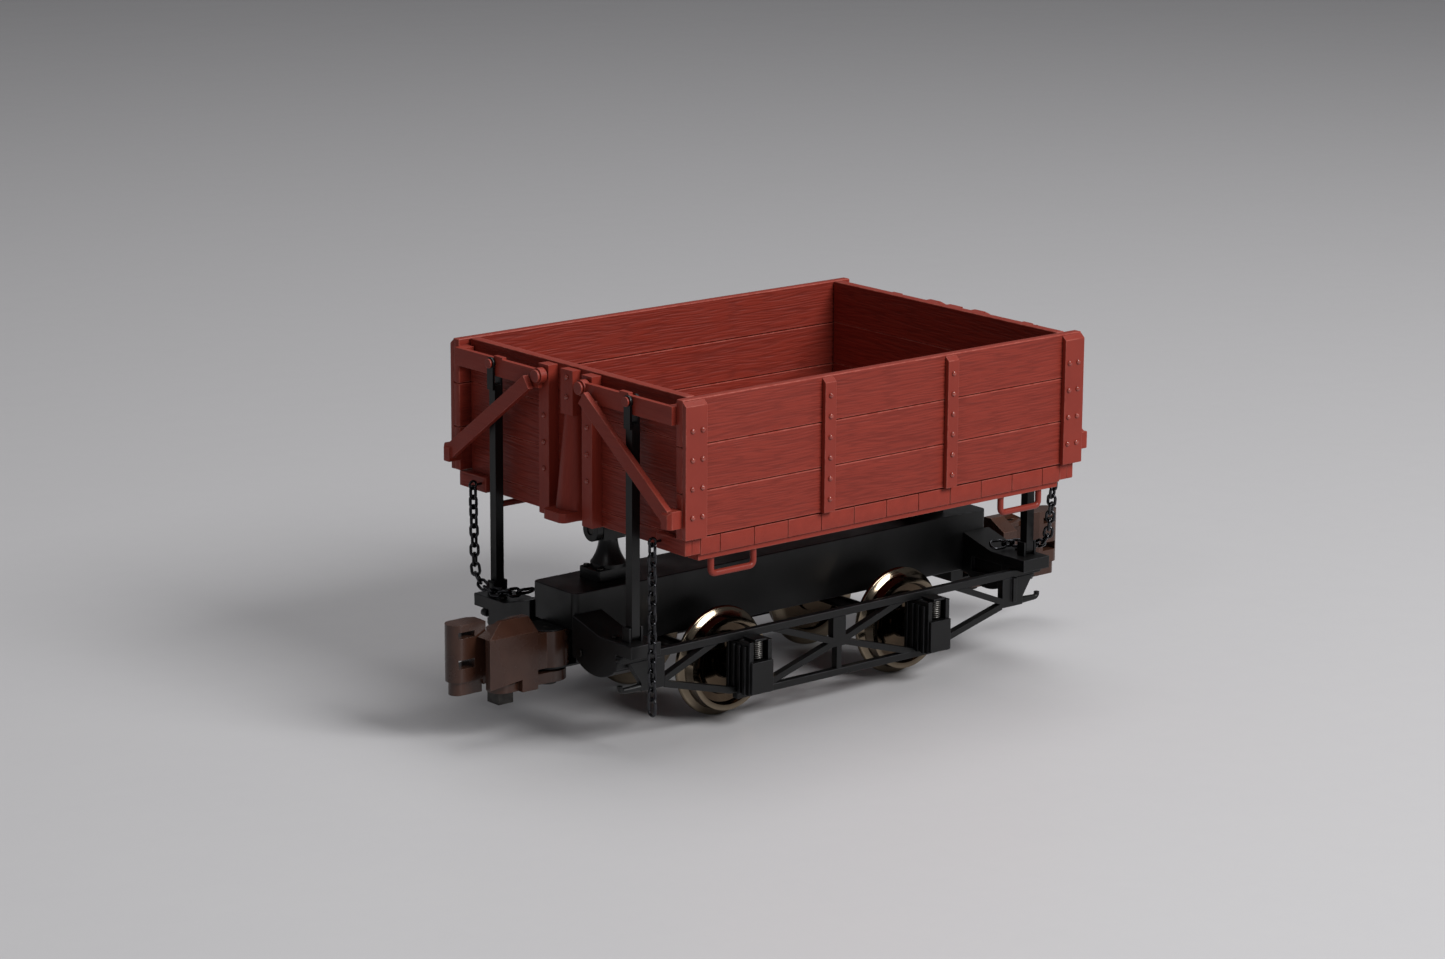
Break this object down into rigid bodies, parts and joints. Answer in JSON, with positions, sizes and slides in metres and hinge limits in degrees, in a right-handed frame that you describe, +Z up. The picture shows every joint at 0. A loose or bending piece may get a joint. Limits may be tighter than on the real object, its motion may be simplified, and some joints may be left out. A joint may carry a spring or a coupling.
{
  "type": "model side-dump wagon",
  "caption": "Four-wheel model railway side-dump wagon: tipping boarded body, linked lifting doors, trussed frame, hinged knuckle couplers and hanging chains.",
  "frame": {"origin": "centre of the wagon at the running surface, under the wheel flanges", "axes": "+X along the wagon towards the end that is on the right in the picture, -Y the near side, +Z up"},
  "size_m": [0.245, 0.1182, 0.1121],
  "materials": {
    "body_boards": "red-brown moulded boards with fine wood grain, satin",
    "body_fittings": "red-brown moulded straps, bars and rivets, satin",
    "frame_black": "black, satin",
    "wheel_metal": "turned, nickel-bronze tint, polished rims",
    "dark_steel": "dull steel",
    "spring_steel": "drawn wire",
    "coupler_brown": "dark brown, satin",
    "chain_black": "blackened wire, glossy"
  },
  "bodies": {
    "underframe": {"centre_sill": "frame_black", "pivot_stands": "frame_black", "end_bolsters": "frame_black", "near_top_bar": "frame_black", "far_top_bar": "frame_black", "near_tie_bar": "frame_black", "far_tie_bar": "frame_black", "near_truss_web": "frame_black", "far_truss_web": "frame_black", "end_brackets": "frame_black", "chain_hooks": "frame_black", "axle_boxes": "frame_black", "axle_springs": "spring_steel", "post_guides": "frame_black", "coupler_washers": "frame_black", "coupler_screws": "dark_steel", "frame_bolts": "dark_steel"},
    "left_wheelset": {"left_wheels": "wheel_metal", "left_axle": "dark_steel"},
    "right_wheelset": {"right_wheels": "wheel_metal", "right_axle": "dark_steel"},
    "left_coupler": {"left_coupler_head": "coupler_brown", "left_knuckle_pin": "dark_steel"},
    "left_jaw": {"left_knuckle": "coupler_brown"},
    "right_coupler": {"right_coupler_head": "coupler_brown", "right_knuckle_pin": "dark_steel"},
    "right_jaw": {"right_knuckle": "coupler_brown"},
    "rocker": {"pivot_pins": "dark_steel"},
    "tub": {"floor_planks": "body_boards", "side_sills": "body_boards", "body_beam": "body_boards", "pivot_lugs": "frame_black", "left_end_wall": "body_boards", "right_end_wall": "body_boards", "end_stakes": "body_boards", "end_pillars": "body_boards", "corner_blocks": "body_boards", "stirrups": "body_fittings", "chain_eyes": "chain_black", "arm_pins": "body_fittings", "end_rivets": "body_fittings"},
    "near_door": {"near_door_boards": "body_boards", "near_door_straps": "body_fittings", "near_door_bars": "body_fittings", "near_door_braces": "body_fittings", "near_door_rivets": "body_fittings", "near_post_pins": "body_fittings"},
    "far_door": {"far_door_boards": "body_boards", "far_door_straps": "body_fittings", "far_door_bars": "body_fittings", "far_door_braces": "body_fittings", "far_door_rivets": "body_fittings", "far_post_pins": "body_fittings"},
    "near_post_pair": {"near_posts": "frame_black"},
    "far_post_pair": {"far_posts": "frame_black"},
    "near_left_chain_run": {"near_left_chain": "chain_black"},
    "near_left_chain_tail": {"near_left_chain_end": "chain_black"},
    "near_right_chain_run": {"near_right_chain": "chain_black"},
    "far_chain_runs": {"far_chains": "chain_black"}
  },
  "joints": [
    {"name": "tip_near", "type": "hinge", "parent": "underframe", "child": "rocker", "pos_m": [0, 0, 0.0602], "axis": [1, 0, 0], "range_deg": [0, 30]},
    {"name": "tip_far", "type": "hinge", "parent": "rocker", "child": "tub", "pos_m": [0, 0, 0.0602], "axis": [1, 0, 0], "range_deg": [-30, 0]},
    {"name": "near_door_swing", "type": "hinge", "parent": "tub", "child": "near_door", "pos_m": [0, -0.0107, 0.1082], "axis": [1, 0, 0], "range_deg": [-52, 0]},
    {"name": "far_door_swing", "type": "hinge", "parent": "tub", "child": "far_door", "pos_m": [0, 0.0107, 0.1082], "axis": [1, 0, 0], "range_deg": [0, 52]},
    {"name": "near_post_swing", "type": "hinge", "parent": "near_door", "child": "near_post_pair", "pos_m": [0, -0.034, 0.1082], "axis": [1, 0, 0], "range_deg": [0, 39]},
    {"name": "far_post_swing", "type": "hinge", "parent": "far_door", "child": "far_post_pair", "pos_m": [0, 0.034, 0.1082], "axis": [1, 0, 0], "range_deg": [-39, 0]},
    {"name": "near_left_chain_swing", "type": "hinge", "parent": "tub", "child": "near_left_chain_run", "pos_m": [0, -0.0448, 0.06615], "axis": [1, 0, 0], "range_deg": [-31, 0], "deforming": ["near_left_chain"]},
    {"name": "near_left_chain_bend", "type": "hinge", "parent": "near_left_chain_run", "child": "near_left_chain_tail", "pos_m": [0, -0.0448, 0.03079], "axis": [1, 0, 0], "range_deg": [-74.5, 0], "deforming": ["near_left_chain_end"]},
    {"name": "near_right_chain_swing", "type": "hinge", "parent": "tub", "child": "near_right_chain_run", "pos_m": [0, -0.0448, 0.06615], "axis": [1, 0, 0], "range_deg": [-56, 0], "deforming": ["near_right_chain"]},
    {"name": "far_chain_swing", "type": "hinge", "parent": "tub", "child": "far_chain_runs", "pos_m": [0, 0.0448, 0.06615], "axis": [1, 0, 0], "range_deg": [0, 56], "deforming": ["far_chains"]},
    {"name": "left_wheelset_spin", "type": "hinge", "parent": "underframe", "child": "left_wheelset", "pos_m": [-0.0369, 0, 0.0174], "axis": [0, 1, 0], "continuous": true},
    {"name": "right_wheelset_spin", "type": "hinge", "parent": "underframe", "child": "right_wheelset", "pos_m": [0.0369, 0, 0.0174], "axis": [0, 1, 0], "continuous": true},
    {"name": "left_coupler_swing", "type": "hinge", "parent": "underframe", "child": "left_coupler", "pos_m": [-0.088, 0, 0.027], "axis": [0, 0, 1], "range_deg": [-15, 15]},
    {"name": "right_coupler_swing", "type": "hinge", "parent": "underframe", "child": "right_coupler", "pos_m": [0.088, 0, 0.027], "axis": [0, 0, 1], "range_deg": [-15, 15]},
    {"name": "left_knuckle_open", "type": "hinge", "parent": "left_coupler", "child": "left_jaw", "pos_m": [-0.1057, 0, 0.027], "axis": [0, 0, 1], "range_deg": [-35, 0]},
    {"name": "right_knuckle_open", "type": "hinge", "parent": "right_coupler", "child": "right_jaw", "pos_m": [0.1057, 0, 0.027], "axis": [0, 0, 1], "range_deg": [-35, 0]}
  ],
  "couplings": [
    {"joint": "near_door_swing", "follows": "tip_near", "ratio": -1.7283},
    {"joint": "near_post_swing", "follows": "tip_near", "ratio": 1.2917},
    {"joint": "near_left_chain_swing", "follows": "tip_near", "ratio": -1},
    {"joint": "near_left_chain_bend", "follows": "tip_near", "ratio": -2.4667},
    {"joint": "near_right_chain_swing", "follows": "tip_near", "ratio": -1.8333},
    {"joint": "far_door_swing", "follows": "tip_far", "ratio": -1.7283},
    {"joint": "far_post_swing", "follows": "tip_far", "ratio": 1.2917},
    {"joint": "far_chain_swing", "follows": "tip_far", "ratio": -1.8333}
  ]
}
